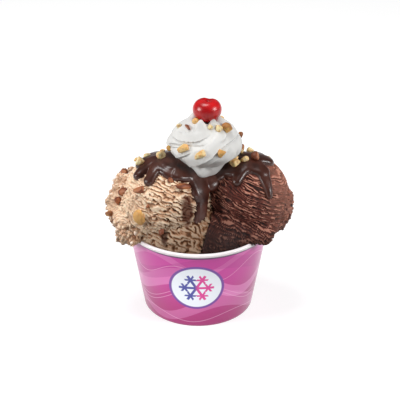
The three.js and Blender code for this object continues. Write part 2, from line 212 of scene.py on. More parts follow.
# %% Rules made of Geometry Nodes
class Rule(Tree):
    """A Geometry Nodes tree with named inputs."""

    def __init__(self, name, **inputs):
        self.group = bpy.data.node_groups.new(name, "GeometryNodeTree")
        self.nodes = self.group.nodes
        self.links = self.group.links
        face = self.group.interface
        face.new_socket("Geometry", in_out="INPUT", socket_type="NodeSocketGeometry")
        face.new_socket("Geometry", in_out="OUTPUT", socket_type="NodeSocketGeometry")
        self.identifiers = {}
        for label, value in inputs.items():
            kind = "NodeSocketFloat"
            if isinstance(value, int):
                kind = "NodeSocketInt"
            if isinstance(value, tuple):
                kind = "NodeSocketVector"
            socket = face.new_socket(label, in_out="INPUT", socket_type=kind)
            socket.default_value = value
            self.identifiers[label] = socket.identifier
        self.start = self.nodes.new("NodeGroupInput")
        self.end = self.nodes.new("NodeGroupOutput")
        self.place = self.nodes.new("GeometryNodeInputPosition").outputs[0]
        self.flow = self.start.outputs["Geometry"]

    def input(self, label):
        return Wave(self, self.start.outputs[label])

    def then(self, kind, settings=None, sockets=None):
        """One more step for the geometry itself."""
        node = self.add(kind, settings, sockets)
        self.links.new(self.flow, node.inputs[0])
        self.flow = node.outputs[0]
        return node

    def store(self, name, value):
        settings = {"data_type": "FLOAT", "domain": "POINT"}
        self.then("GeometryNodeStoreNamedAttribute", settings, {"Name": name, "Value": value})

    def stored(self, name, kind="FLOAT"):
        made = self.add("GeometryNodeInputNamedAttribute", {"data_type": kind}, {"Name": name})
        return Wave(self, made.outputs["Attribute"])

    def set_shapes(self, shapes, index, scale, turn):
        """Sets one of a few shapes on every point, scaled and turned."""
        choice = self.nodes.new("GeometryNodeJoinGeometry")
        for shape in shapes:
            info = self.add("GeometryNodeObjectInfo", None, {"Object": shape, "As Instance": True})
            self.links.new(info.outputs["Geometry"], choice.inputs[0])
        rotation = self.add("FunctionNodeEulerToRotation", None, {0: turn}).outputs[0]
        sockets = {"Instance": choice.outputs[0], "Pick Instance": True, "Instance Index": index,
                   "Scale": scale, "Rotation": rotation}
        self.then("GeometryNodeInstanceOnPoints", None, sockets)

    def finish(self, material):
        self.then("GeometryNodeRealizeInstances")
        self.then("GeometryNodeSetMaterial", None, {"Material": material})
        self.links.new(self.flow, self.end.inputs[0])

    def run(self, piece, **values):
        """The piece after the rule, as a plain mesh."""
        modifier = piece.modifiers.new(self.group.name, "NODES")
        modifier.node_group = self.group
        for label, value in values.items():
            modifier[self.identifiers[label]] = value
        mesh = evaluated_mesh(piece)
        piece.modifiers.remove(modifier)
        return mesh


def evaluated_mesh(piece):
    """The piece with its modifiers worked out, as a plain mesh."""
    graph = bpy.context.evaluated_depsgraph_get()
    return bpy.data.meshes.new_from_object(piece.evaluated_get(graph))


print("rules and finishes are ready")

# %% [markdown]
# Meshes come from numpy grids. The helpers below turn arrays into an object, keep values on its
# vertices, and give every finished piece its material and its body and hide its CAD node.


# %% From arrays to pieces
def make_object(name, points, faces):
    mesh = bpy.data.meshes.new(name)
    mesh.from_pydata(points.tolist(), [], faces.tolist() if hasattr(faces, "tolist") else faces)
    return wrap_mesh(name, mesh)


def wrap_mesh(name, mesh):
    mesh.name = name
    mesh.polygons.foreach_set("use_smooth", [True] * len(mesh.polygons))
    mesh.update()
    piece = bpy.data.objects.new(name, mesh)
    bpy.context.collection.objects.link(piece)
    return piece


def replace_mesh(piece, mesh):
    old = piece.data
    piece.data = mesh
    bpy.data.meshes.remove(old)


def apply_modifiers(piece):
    mesh = evaluated_mesh(piece)
    piece.modifiers.clear()
    replace_mesh(piece, mesh)
    return piece


def discard(*pieces):
    for piece in pieces:
        bpy.data.meshes.remove(piece.data)


def settle(piece, node, material=None):
    """The piece rides on the one body and stands in for its CAD node, which is hidden."""
    if material:
        piece.data.materials.append(material)
    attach(piece, "root")
    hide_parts(node)
    triangles = sum(len(p.vertices) - 2 for p in piece.data.polygons)
    print(piece.name, "has", triangles, "triangles")


def vertex_array(mesh):
    flat = np.empty(len(mesh.vertices) * 3)
    mesh.vertices.foreach_get("co", flat)
    return flat.reshape(-1, 3)


def keep_values(piece, label, values, kind="FLOAT"):
    """Stores a value, or a vector, for each vertex."""
    layer = piece.data.attributes.new(label, kind, "POINT")
    field = "vector" if kind == "FLOAT_VECTOR" else "value"
    flat = np.array(values, dtype=int if kind == "INT" else np.float32).ravel()
    layer.data.foreach_set(field, flat)


def direction(azimuth, polar):
    """Azimuth 0 faces -Y and 90 faces +X; polar is the angle down from +Z; both in degrees."""
    a, p = np.radians(azimuth), np.radians(polar)
    return np.stack([np.sin(a) * np.sin(p), -np.cos(a) * np.sin(p), np.cos(p) + 0 * a], axis=-1)


def smoothstep(low, high, value):
    t = np.clip((value - low) / (high - low), 0, 1)
    return t * t * (3 - 2 * t)


def grid_faces(rows, columns):
    """Quads of a grid that closes on itself sideways, each row below the last one."""
    row, column = np.meshgrid(np.arange(rows - 1), np.arange(columns), indexing="ij")
    here = row * columns + column
    beside = row * columns + (column + 1) % columns
    return np.stack([here, here + columns, beside + columns, beside], -1).reshape(-1, 4)


def turned_surface(name, rings):
    """A closed surface of rings from top to bottom, capped by a point at each end."""
    rows, columns, _ = rings.shape
    points = np.concatenate([rings.reshape(-1, 3), rings[:1].mean(1), rings[-1:].mean(1)])
    faces = grid_faces(rows, columns).tolist()
    top, bottom = rows * columns, rows * columns + 1
    last = (rows - 1) * columns
    for column in range(columns):
        beside = (column + 1) % columns
        faces.append([top, column, beside])
        faces.append([bottom, last + beside, last + column])
    return make_object(name, points, faces)


print("a quarter turn faces", direction(90.0, 90.0).round(3))

# %% [markdown]
# The cup is coated paper: a flared wall whose upper edge is rolled outwards into a white bead, and
# whose lower edge is folded round a raised disc. A profile turned about the axis makes the wall.
# The CAD wall has flat facets, so the same section is turned again with far more steps, and the
# wall gets a UV map in millimetres round and up, which the print follows.

# %% Turn the paper wall
CUP_HEIGHT = 63.0
RIM_RADIUS = 50.0
ROLL_RADIUS = 1.4
FOOT_RADIUS = 37.5
PAPER = 0.6
FOLD_THICKNESS = 1.0
FOLD_HEIGHT = 6.0
CUP_COLUMNS = 256
ROLL_CENTRE = (RIM_RADIUS - ROLL_RADIUS, CUP_HEIGHT - ROLL_RADIUS)
WALL_TOP = RIM_RADIUS - 2 * ROLL_RADIUS + PAPER
SLOPE = (WALL_TOP - FOOT_RADIUS) / ROLL_CENTRE[1]
MIDDLE_RADIUS = (FOOT_RADIUS + WALL_TOP) / 2
FOLD_EDGE = 0.35
CRIMP = 0.4


def wall_radius(height):
    return FOOT_RADIUS + SLOPE * height


def wall_section():
    """Radius and height of the outside, the roll, the inside and the fold, in millimetres."""
    fold_inside = FOOT_RADIUS - PAPER - FOLD_THICKNESS
    section = [(FOOT_RADIUS - FOLD_EDGE, 0.0), (FOOT_RADIUS + 0.05, FOLD_EDGE)]
    section += [(wall_radius(h), h) for h in np.linspace(2, 58, 15)]
    for angle in np.radians(np.linspace(-140, 180, 26)):
        section.append((ROLL_CENTRE[0] + ROLL_RADIUS * np.cos(angle),
                        ROLL_CENTRE[1] + ROLL_RADIUS * np.sin(angle)))
    section.append((wall_radius(FOLD_HEIGHT + CRIMP) - PAPER, FOLD_HEIGHT + CRIMP))
    section.append((wall_radius(FOLD_HEIGHT) - PAPER - CRIMP, FOLD_HEIGHT))
    section.append((wall_radius(FOLD_HEIGHT - CRIMP) - PAPER - FOLD_THICKNESS, FOLD_HEIGHT - 0.5))
    section += [(fold_inside, 0.3), (fold_inside + FOLD_EDGE, 0.0)]
    return np.array(section)


def closed_band(name, section, columns):
    """A section that closes on itself, turned about the cup's axis."""
    angle = np.arange(columns) * 2 * np.pi / columns
    around = np.stack([np.sin(angle), -np.cos(angle)], -1)
    radius, height = section[:, 0] * MM, section[:, 1] * MM
    heights = np.broadcast_to(height[:, None, None], (len(section), columns, 1))
    rings = np.concatenate([radius[:, None, None] * around[None], heights], -1)
    faces = grid_faces(len(section) + 1, columns) % (len(section) * columns)
    return make_object(name, rings.reshape(-1, 3), faces[:, ::-1])


def outward(piece):
    """Turns every face outwards."""
    shape = bmesh.new()
    shape.from_mesh(piece.data)
    bmesh.ops.remove_doubles(shape, verts=shape.verts, dist=1e-7)
    bmesh.ops.recalc_face_normals(shape, faces=shape.faces)
    shape.to_mesh(piece.data)
    shape.free()


def print_coordinates(piece):
    """A UV map in millimetres: u runs round the wall at its middle radius, v runs up."""
    mesh = piece.data
    layer = mesh.uv_layers.new(name="print")
    points = vertex_array(mesh)
    angle = np.arctan2(points[:, 0], -points[:, 1])
    corner = np.empty(len(mesh.loops), dtype=int)
    mesh.loops.foreach_get("vertex_index", corner)
    turn = angle[corner].reshape(-1, 4)
    wide = turn.max(1) - turn.min(1) > np.pi
    turn[wide] = np.where(turn[wide] < 0, turn[wide] + 2 * np.pi, turn[wide])
    uv = np.stack([turn.reshape(-1) * MIDDLE_RADIUS, points[corner, 2] / MM], -1)
    layer.data.foreach_set("uv", uv.astype(np.float32).reshape(-1))


cup_paper = closed_band("cup_paper", wall_section(), CUP_COLUMNS)
outward(cup_paper)
print_coordinates(cup_paper)
print("wall leans out by", round(WALL_TOP - FOOT_RADIUS, 2), "mm")

# %% [markdown]
# The print is magenta with broad, soft ribbons that swing round the cup, a few fine pale lines
# between them and an oval badge at the front. An image would do it, but then it would have one
# size only, so all of it is maths on the UV map: a ribbon is the distance from a sine curve.
# Film-coated paper is glossy, so a coat carries the studio's reflections.

# %% Print the ribbons
# Each ribbon: its height, swing, waves round the cup, shift, half width and strength
RIBBONS = [(14, 8, 3, 0.4, 4.6, 0.32), (34, 9, 3, 2.3, 5.2, 0.5), (53, 7, 4, 4.4, 3.6, 0.34)]
DEEP_RIBBON = (44, 10, 2, 1.1)
# Each fine line: its height, swing, waves round the cup and shift
FINE_LINES = [(24, 9, 3, 1.5), (27, 9, 3, 1.5), (45, 6, 5, 3.1), (7, 3, 4, 5.2)]


def printed_paper():
    finish = Finish("printed_paper", srgb(212, 70, 168), Roughness=0.34, Coat_Weight=0.5,
                    Coat_Roughness=0.1, Specular_IOR_Level=0.4)
    uv = finish.add("ShaderNodeUVMap", {"uv_map": "print"}).outputs[0]
    u, v, _ = finish.split(uv)
    turn = u / MIDDLE_RADIUS

    def swing(height, reach, waves, shift):
        return v - height - (turn * waves + shift).sine() * reach

    # Painted shade: the magenta darkens from the top down towards the foot.
    colour = finish.mix(v.ease(2, 60), srgb(168, 34, 112), srgb(206, 54, 160))
    for *path, half, strength in RIBBONS:
        width = (turn * 2 + path[3]).sine() * 1.6 + half
        band = 1 - (swing(*path).size() - width).ease(-0.25, 0.25)
        colour = finish.mix(band * strength, colour, srgb(238, 146, 206))
    deep = swing(*DEEP_RIBBON).size() - 5.0
    colour = finish.mix((1 - deep.ease(-0.3, 0.3)) * 0.4, colour, srgb(176, 34, 134))
    for path in FINE_LINES:
        line = 1 - swing(*path).size().ease(0.12, 0.34)
        colour = finish.mix(line * 0.6, colour, srgb(240, 178, 216))
    return finish, u, v, colour


print(len(RIBBONS), "ribbons and", len(FINE_LINES), "fine lines")

# %% [markdown]
# The badge is an oval with a ring, wider than it looks because the wall curves away, and holds a
# plain frost star: three bars through one point, each with two pairs of twigs. The roll at the rim
# is bare white board, and a dark band of painted shade under it parts it from the print.

# %% Print the badge and the rim
BADGE_MIDDLE = (-1.2, 33.9)
BADGE_HALF = (18.8, 18.2)
RING_OUTSIDE, RING_INSIDE = (0.985, 1.015), (0.885, 0.915)
ARM_LENGTH = 11.6
ARM_EDGE = (0.8, 1.05)
TWIG_PLACE = 6.8
TWIG_EDGE = (0.6, 0.85)
# Where the print gives way to the painted shade under the roll, the bare roll and the bare inside, in metres
ROLL_SHADE_EDGE, ROLL_EDGE, INSIDE_EDGE = (0.058, 0.0582), (0.0603, 0.0606), (0.0371, 0.0373)


def badge(finish, u, v, colour):
    """An oval panel with a ring, and a plain six-armed frost star in it."""
    narrowing = (v * SLOPE + FOOT_RADIUS) / MIDDLE_RADIUS
    x, y = u * narrowing - BADGE_MIDDLE[0], v - BADGE_MIDDLE[1]
    across, up = x / BADGE_HALF[0], y / BADGE_HALF[1]
    oval = (across * across + up * up) ** 0.5
    panel = 1 - oval.ease(*RING_OUTSIDE)
    colour = finish.mix(panel, colour, srgb(112, 58, 150))
    field = 1 - oval.ease(*RING_INSIDE)
    colour = finish.mix(field, colour, srgb(236, 240, 248))
    reach = (x * x + y * y) ** 0.5
    star = None
    for turn in range(3):
        a = math.pi * turn / 3 + math.pi / 2
        away = (x * math.cos(a) + y * math.sin(a)).size()
        arm = 1 - away.ease(*ARM_EDGE)
        star = arm if star is None else star.most(arm)
        for side in (-1, 1):
            b = a + side * math.pi / 3
            twig = ((x * math.cos(b) + y * math.sin(b)).size() - TWIG_PLACE).size()
            near = (1 - away.ease(3.2, 3.5)) * reach.ease(5.2, 5.5)
            star = star.most((1 - twig.ease(*TWIG_EDGE)) * near)
    star = star * (1 - reach.ease(ARM_LENGTH, ARM_LENGTH + 0.4))
    ink = finish.mix(x.ease(-1.5, 1.5), srgb(62, 66, 150), srgb(214, 56, 144))
    return finish.mix(star, colour, ink)


def paper_print():
    finish, u, v, colour = printed_paper()
    colour = badge(finish, u, v, colour)
    reach = finish.length(finish.vector("MULTIPLY", finish.place, (1, 1, 0)))
    height = finish.along((0, 0, 1))
    inside = 1 - (reach - height * SLOPE).ease(*INSIDE_EDGE)
    # Painted shade: a dark band just under the rolled rim.
    colour = finish.mix(height.ease(*ROLL_SHADE_EDGE), colour, srgb(92, 34, 96))
    white = height.ease(*ROLL_EDGE).most(inside)
    colour = finish.mix(white, colour, srgb(242, 234, 236))
    flattened = finish.vector("MULTIPLY", finish.place, (1, 1, 0.5))
    finish.bump(finish.noise(flattened, 900, 3), 0.00002, 0.3)
    return finish.set(Base_Color=colour)


settle(cup_paper, "cup_wall", paper_print())

# %% [markdown]
# The base disc is pushed up into the foot and its edge is crimped in the fold. It is plain board,
# seen only from below: a shallow turned disc with a faint pressed ring and paper fibres.

# %% Press the base disc
PRESSED = 0.25 * MM


def pressed_disc():
    low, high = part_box("cup_base")
    reach, bottom, top = high[0], low[2], high[2]
    section = [(0.3, top), (0.6, top), (0.62, top - PRESSED), (0.66, top), (0.985, top)]
    section += [(1.0, top - 0.0002), (1.0, bottom + 0.0002), (0.985, bottom)]
    section += [(0.66, bottom), (0.62, bottom - PRESSED), (0.6, bottom), (0.3, bottom)]
    angle = np.arange(128) * 2 * np.pi / 128
    rings = np.array([[(share * reach * np.sin(a), -share * reach * np.cos(a), height)
                       for a in angle] for share, height in section])
    return turned_surface("cup_disc", rings)


def board():
    finish = Finish("white_board", srgb(240, 236, 236), Roughness=0.7)
    fibre = finish.grain(1500, detail=4)
    finish.bump(fibre, 0.00003, 0.5)
    return finish.set(Base_Color=finish.mix(fibre, srgb(226, 220, 218), srgb(246, 243, 243)))


cup_disc = pressed_disc()
outward(cup_disc)
settle(cup_disc, "cup_base", board())

# %% [markdown]
# Each scoop is a ball with a ragged skirt, fused to the ice cream that fills its side of the cup.
# Seen from the ball's middle, the whole surface is in plain sight, so rays cast outwards from
# there find the CAD form in every direction. The rays give a fine, even grid, close where the ice
# cream shows and coarse inside the cup, and a little smoothing melts the CAD's facets away. A
# groove parts the ball from its skirt, where the scoop's rim was pressed in.

# %% Cast the scoops' forms
SCOOP_RADIUS = 30.2
PRALINE_CENTRE = np.array([-20.6, -5.0, 80.0])
CHOCOLATE_CENTRE = np.array([32.1, 3.0, 75.7])
COLUMNS = 470
# Each skirt: its side, how far its edge leans back, and where it starts above and below the middle
PRALINE_SKIRT = (-1, -0.5, (76, 26))
CHOCOLATE_SKIRT = (1, 0.06, (30, 4))


def sight_tree(*pieces):
    """Meshes as one tree for casting rays."""
    points, triangles = [], []
    for piece in pieces:
        start = len(points)
        points += vertex_array(piece.data).tolist()
        triangles += [[start + i for i in polygon.vertices] for polygon in piece.data.polygons]
    return BVHTree.FromPolygons(points, triangles)


def polar_rows():
    shown = np.linspace(0.5, 124, round(COLUMNS * 0.38))
    return np.concatenate([shown, np.linspace(126, 179, 14)])


def cast_surface(tree, centre):
    """Distance from a centre to the form in each direction, as a grid in millimetres."""
    azimuth, polar = np.meshgrid(np.arange(COLUMNS) * 360 / COLUMNS, polar_rows())
    ways = direction(azimuth, polar)
    start = Vector(centre * MM)
    reach = [tree.ray_cast(start, Vector(way))[3] for way in ways.reshape(-1, 3)]
    reach = np.array([r if r else 0.02 for r in reach]).reshape(azimuth.shape) / MM
    return ways, reach


def even_out(reach, times):
    """Averages each distance with its neighbours on the grid."""
    for _ in range(times):
        sides = (np.roll(reach, 1, 1) + np.roll(reach, -1, 1)) / 2
        upright = (np.vstack([reach[:1], reach[:-1]]) + np.vstack([reach[1:], reach[-1:]])) / 2
        reach = (2 * reach + sides + upright) / 4
    return reach


def skirt_place(ways, side, lean, starts):
    """How far below the skirt's edge a direction lies, the skirt's share there and the ball's."""
    below = -(ways @ np.array([-0.42 * side, lean, 0.9]))
    around = side * np.degrees(np.arctan2(ways[..., 0], -ways[..., 1]))
    around = np.where(around < -90, around + 360, around)
    low = smoothstep(94, 110, np.degrees(np.arccos(ways[..., 2])))
    front = starts[0] + (starts[1] - starts[0]) * low
    share = smoothstep(front, front + 20, around) * (1 - smoothstep(170, 220, around))
    ball = smoothstep(0, 15, around) * (1 - smoothstep(front, front + 14, around)) * (1 - low)
    return below, share, ball


def scoop_form(name, node, centre, depth, skirt):
    """The scoop's fine grid, with how ragged each place is, and its directions and distances."""
    ways, cast = cast_surface(sight_tree(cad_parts[node]), centre)
    reach = even_out(cast, 9)
    below, share, ball = skirt_place(ways, *skirt)
    reach = reach - ball * 0.8 * np.clip(reach - SCOOP_RADIUS - 0.5, 0, None)
    groove = depth * share * np.exp(-(((below - 0.12) / 0.05) ** 2))
    rings = (centre + ways * (reach - groove)[..., None]) * MM
    piece = turned_surface(name, rings)
    outward(piece)
    outside = smoothstep(46, 50, np.hypot(rings[..., 0], rings[..., 1]) / MM)
    above = np.maximum(smoothstep(61, 65, rings[..., 2] / MM), outside)
    ragged = smoothstep(0.1, 0.2, below) * share * above
    keep_values(piece, "ragged", np.append(ragged.reshape(-1), [0, 0]))
    return piece, ways, reach


praline, praline_ways, praline_reach = scoop_form(
    "praline_ice_cream", "praline_scoop", PRALINE_CENTRE, 3.0, PRALINE_SKIRT)
chocolate, chocolate_ways, chocolate_reach = scoop_form(
    "chocolate_ice_cream", "chocolate_scoop", CHOCOLATE_CENTRE, 1.4, CHOCOLATE_SKIRT)
print("praline reaches", round(vertex_array(praline.data)[:, 0].min() / MM, 1), "mm to the left")

# %% [markdown]
# A scoop is dragged through hard ice cream, which tears into shelves like shingles: each swells
# towards its lower lip, then drops into a dark crack. Sculpting would do it once; Geometry Nodes do
# it by a rule that serves both scoops. A wave runs down the slanting drag, and its fraction is a saw
# tooth, which is the shelf. Noise bends the wave, and a jump from one flake of a Voronoi pattern to
# the next breaks it, so that the lips wander and end. Some places are torn deeper than others. The
# surface moves outwards by the shelf and the lips sag. Skirts crumble into lumps instead. How high
# each place lies is stored for the colours.

# %% Tear the ridges
FLAKE = (0.0075, 0.0075, 0.0045)
PIT = (0.0075, 0.0075, 0.0055)
FILL_LEVEL = (0.057, 0.063)
MEAN_SHELF = 0.55


def saw_tooth(rule, x, y, z, cloud):
    """From 0 under one lip to 1 at the next one, down the drag."""
    spacing = rule.input("Spacing")
    slant = z + x * rule.input("Tilt")
    wander = (cloud(0.017, 0.017, 0.017, 1.0) - 0.5) * rule.input("Wander")
    run_length = spacing * rule.input("Length")
    drawn_out = rule.join(x / run_length, y / run_length, slant / (spacing * 1.5))
    run = (rule.noise(drawn_out, 1.0, 1.0) - 0.5) * 3.4
    frayed = (cloud(0.004, 0.004, 0.004, 2.0, 0.6) - 0.5) * rule.input("Crumble") * 2.2
    bend = cloud(0.005, 0.005, 0.005, 1.0) * 0.9
    spot = rule.join(x / FLAKE[0] + bend, y / FLAKE[1], slant / FLAKE[2] + bend)
    flakes = rule.add("ShaderNodeTexVoronoi", None, {"Vector": spot, "Scale": 1.0})
    draw = Wave(rule, rule.vector("DOT_PRODUCT", flakes.outputs["Color"], (1, 0, 0)))
    return (wander + run + frayed + draw * rule.input("Broken") - slant / spacing).fraction()


def torn_ridges(name, material):
    rule = Rule(name, Height=0.0011, Spacing=0.0028, Length=5.0, Tilt=0.3, Wander=4.0, Lip=0.7,
                Crumble=0.5, Broken=0.5, Ragged=0.003, Calm=0.0)
    x, y, z = rule.split(rule.place)
    height, ragged = rule.input("Height"), rule.stored("ragged")

    def cloud(a, b, c, detail=2.0, rough=0.5, shift=0.0):
        return rule.noise(rule.join(x / a + shift, y / b, z / c), 1.0, detail, rough)

    def lumps(size):
        sockets = {"Vector": rule.join(x / size, y / size, z / size), "Scale": 1.0}
        return 0.42 - Wave(rule, rule.add("ShaderNodeTexVoronoi", None, sockets).outputs[0])

    saw = saw_tooth(rule, x, y, z, cloud)
    shelf = saw.ease(-0.05, 0.7) * (1 - saw.ease(0.83, 0.98))
    torn = cloud(*PIT, shift=9.0).ease(0.3, 0.52)
    torn = torn * (1 - (z - x * 0.6).ease(0.092, 0.108) * rule.input("Calm"))
    coarse = (cloud(0.0032, 0.0032, 0.0024, 2.0, 0.55) - 0.5) * rule.input("Crumble")
    fine = cloud(0.0012, 0.0012, 0.001, 2.0, 0.6) - 0.5
    relief = (shelf - MEAN_SHELF) * (torn * 0.85 + 0.35) + MEAN_SHELF + coarse * 0.9 + fine * 0.35
    crumbs = (lumps(0.0046) * 1.6 + lumps(0.0021) * 0.7) * ragged
    shown = z.ease(*FILL_LEVEL).most(ragged)
    push = (relief - MEAN_SHELF) * height * (1 - ragged * 0.6) * shown + crumbs * rule.input("Ragged")
    normal = rule.nodes.new("GeometryNodeInputNormal").outputs[0]
    sag = (relief - 0.3).most(0.0) * height * rule.input("Lip") * shown * -1
    out = rule.add("ShaderNodeVectorMath", {"operation": "SCALE"}, {0: normal, "Scale": push}).outputs[0]
    rule.store("relief", relief + crumbs * 0.35)
    rule.then("GeometryNodeSetPosition", None, {"Offset": rule.vector("ADD", out, rule.join(z=sag))})
    rule.finish(material)
    return rule


PRALINE_TEAR = {"Height": 0.0022, "Spacing": 0.0028, "Length": 3.6, "Tilt": 0.3, "Wander": 3.4,
                "Lip": 0.5, "Crumble": 0.7, "Broken": 0.8, "Ragged": 0.0022, "Calm": 0.7}
CHOCOLATE_TEAR = {"Height": 0.001, "Spacing": 0.0016, "Length": 8.0, "Tilt": 0.45, "Wander": 2.0,
                  "Lip": 0.5, "Crumble": 0.42, "Broken": 0.45, "Ragged": 0.0011}
print("praline shelves lie", PRALINE_TEAR["Spacing"] / MM, "mm apart")

# %% [markdown]
# Ice cream is painted pale on the crests, as painted light, and dark in the cracks, as painted
# shade. The stored relief drives that, with noise so that no two crests are alike, and light enters a
# little. On top come painted light on the outer side that faces a side lamp, fudge that has soaked
# in beside the valley, and painted shade low down. Each stays a small function, so that both scoops
# share it.


# %% Colour and finish the scoops
def ice_cream(name, shades, steps, paling, bump):
    """Ice cream: painted shade in the cracks, a body colour, painted light on the crests, pale frost specks
    and a grainy, softly lit surface.
    """
    crack_shade, shade, body, lit_crest = shades
    finish = Finish(name, body, Roughness=0.62, Subsurface_Weight=0.1, Subsurface_Scale=0.0015,
                    Subsurface_Radius=(1.0, 0.6, 0.4), Specular_IOR_Level=0.18)
    relief = finish.attribute("relief")
    patch = finish.grain(80, detail=3)
    speck = finish.grain(900)
    level = relief + (patch - 0.5) * 0.3 + (speck - 0.5) * 0.2
    # The relief ramp paints shade into the cracks and light onto the crests.
    colour = finish.mix(level.ease(steps[0], steps[1]), crack_shade, shade)
    colour = finish.mix(level.ease(steps[1], steps[2]), colour, body)
    colour = finish.mix(level.ease(steps[2], steps[3]), colour, lit_crest)
    colour = finish.mix(speck.ease(0.6, 0.76) * paling, colour, lit_crest)
    ice = finish.grain(1500) * 0.6 + finish.grain(4200, detail=1) * 0.4
    finish.bump(ice, bump, 0.6)
    return finish, colour


def soaked(finish, colour, middle, squeeze, stain):
    """A blotch of another colour: its middle, its squeeze along each axis and its tint."""
    away = finish.vector("MULTIPLY", finish.vector("SUBTRACT", finish.place, middle), squeeze)
    blotch = finish.length(away) + (finish.grain(240, detail=3) - 0.5) * 0.006
    return finish.mix((1 - blotch.ease(0.0035, 0.0075)) * 0.92, colour, stain)


def lit_outer_side(finish, colour, way, start, share, paling):
    """Painted light that pales the scoop's outer side, which faces a side lamp, from a distance along a
    direction.
    """
    return finish.mix(finish.along(way).ease(start, start + 0.02) * share, colour, paling)


def praline_finish():
    """Fudge has soaked in beside the valley, and low down the ice cream is painted darker, as painted shade.
    """
    shades = [srgb(78, 46, 30), srgb(142, 98, 70), srgb(216, 169, 134), srgb(252, 226, 196)]
    finish, colour = ice_cream("praline_ice", shades, (0.06, 0.3, 0.52, 0.86), 0.25, 0.00025)
    # Painted light on the left side, which faces the left lamp.
    colour = lit_outer_side(finish, colour, (-0.95, 0, 0.3), 0.052, 0.4, shades[3])
    # Painted shade: the lower part of the ball is darker.
    low = finish.along((0.45, -0.2, -0.87)).ease(-0.088, -0.052)
    colour = finish.mix(low * 0.8, colour, srgb(92, 58, 33))
    colour = soaked(finish, colour, (-0.0072, -0.0303, 0.0855), (1.5, 0.5, 0.55), srgb(84, 38, 20))
    colour = soaked(finish, colour, (-0.022, -0.0325, 0.0695), (2.2, 0.4, 1.0), srgb(62, 30, 17))
    nutty = finish.attribute("ragged") * finish.grain(260, detail=3).ease(0.42, 0.62) * 0.6
    return finish.set(Base_Color=finish.mix(nutty, colour, srgb(150, 98, 64)))


def chocolate_finish():
    shades = [srgb(28, 12, 10), srgb(58, 25, 20), srgb(108, 54, 43), srgb(192, 134, 114)]
    finish, colour = ice_cream("chocolate_ice", shades, (0.0, 0.34, 0.78, 1.06), 0.2, 0.00022)
    # Painted light on the right side, which faces the right lamp.
    colour = lit_outer_side(finish, colour, (0.95, 0, 0.3), 0.062, 0.35, shades[3])
    # Painted shade: the lower part of the ball is darker.
    low = finish.along((-0.45, -0.2, -0.87)).ease(-0.086, -0.054)
    return finish.set(Base_Color=finish.mix(low * 0.9, colour, srgb(28, 9, 6)))


praline_rule = torn_ridges("torn_praline", praline_finish())
replace_mesh(praline, praline_rule.run(praline, **PRALINE_TEAR))
chocolate_rule = torn_ridges("torn_chocolate", chocolate_finish())
replace_mesh(chocolate, chocolate_rule.run(chocolate, **CHOCOLATE_TEAR))
settle(praline, "praline_scoop")
settle(chocolate, "chocolate_scoop")

# %% [markdown]
# Hot fudge is poured over the tops. It runs down in tongues with thick, rounded ends, and pools in
# the valley. On a ball it is a height over the surface: each tongue is a great-circle line with a
# half width, the distance from it gives a rounded bead, and beads melt into each other. Outside
# the tongues the height falls below the ice cream, so the edge is a clean crossing of surfaces.

# %% Pour the fudge
FUDGE_THICKNESS = 2.6
EDGE_ROUND = 3.0
NO_FUDGE, CUT_LEVEL = -3.0, -2.2
POOL_MIDDLE = np.array([5.6, -1, 93.2])
POOL_HALF = np.array([12.2, 15.6, 7.7])
# Each tongue: its start and end as (azimuth, polar angle), and its half widths there
PRALINE_DRIPS = [
    ((-108, 12), (-92, 32), (7.4, 4.6)),
    ((-84, 12), (-63, 43), (5.6, 3.4)),
    ((-35, 12), (-33, 42), (4.6, 3.7)),
    ((10, 8), (21, 18), (6.8, 5.9)),
    ((80, 30), (55, 64), (9.4, 7.3)),
    ((62, 60), (42, 95), (6.0, 4.4)),
    ((-150, 10), (-146, 47), (5.4, 3.5)),
    ((170, 10), (176, 36), (6.0, 4.6)),
    ((128, 15), (134, 66), (6.4, 3.8)),
    ((60, 16), (61, 17), (16.0, 16.0)),
]
CHOCOLATE_DRIPS = [
    ((-66, 24), (-62, 40), (7.4, 4.4)),
    ((-20, 14), (-20, 41), (7.2, 3.4)),
    ((20, 14), (42, 30), (7.6, 5.2)),
    ((42, 28), (32, 62), (5.2, 2.3)),
    ((110, 8), (104, 27), (6.9, 5.4)),
    ((150, 10), (150, 52), (5.8, 3.2)),
    ((-160, 12), (-154, 38), (6.4, 4.4)),
    ((-70, 12), (-71, 13), (15.0, 15.0)),
]


def melt(first, second, soft):
    """The greater of two heights, with a soft fillet where they meet."""
    near = np.clip(soft - np.abs(first - second), 0, None) / soft
    return np.maximum(first, second) + near * near * soft / 4


def drip_height(ways, drip):
    start, end, widths = drip
    a, b = direction(*start), direction(*end)
    normal = np.cross(a, b)
    normal /= np.linalg.norm(normal)
    ahead = np.cross(normal, a)
    arc = np.arccos(np.clip(a @ b, -1, 1))
    along = np.arctan2(ways @ ahead, ways @ a)
    share = np.clip(along / arc, 0, 1)
    off = np.abs(np.arcsin(np.clip(ways @ normal, -1, 1)))
    ends = np.minimum(np.arccos(np.clip(ways @ a, -1, 1)), np.arccos(np.clip(ways @ b, -1, 1)))
    away = np.where((along >= 0) & (along <= arc), off, ends) * SCOOP_RADIUS
    width = widths[0] + (widths[1] - widths[0]) * share
    inside = width - away
    rounded = np.sqrt(1 - (1 - np.clip(inside / np.minimum(width, EDGE_ROUND), 0, 1)) ** 2)
    return np.where(inside > 0, FUDGE_THICKNESS * (0.85 + 0.3 * share) * rounded, inside * 1.3)


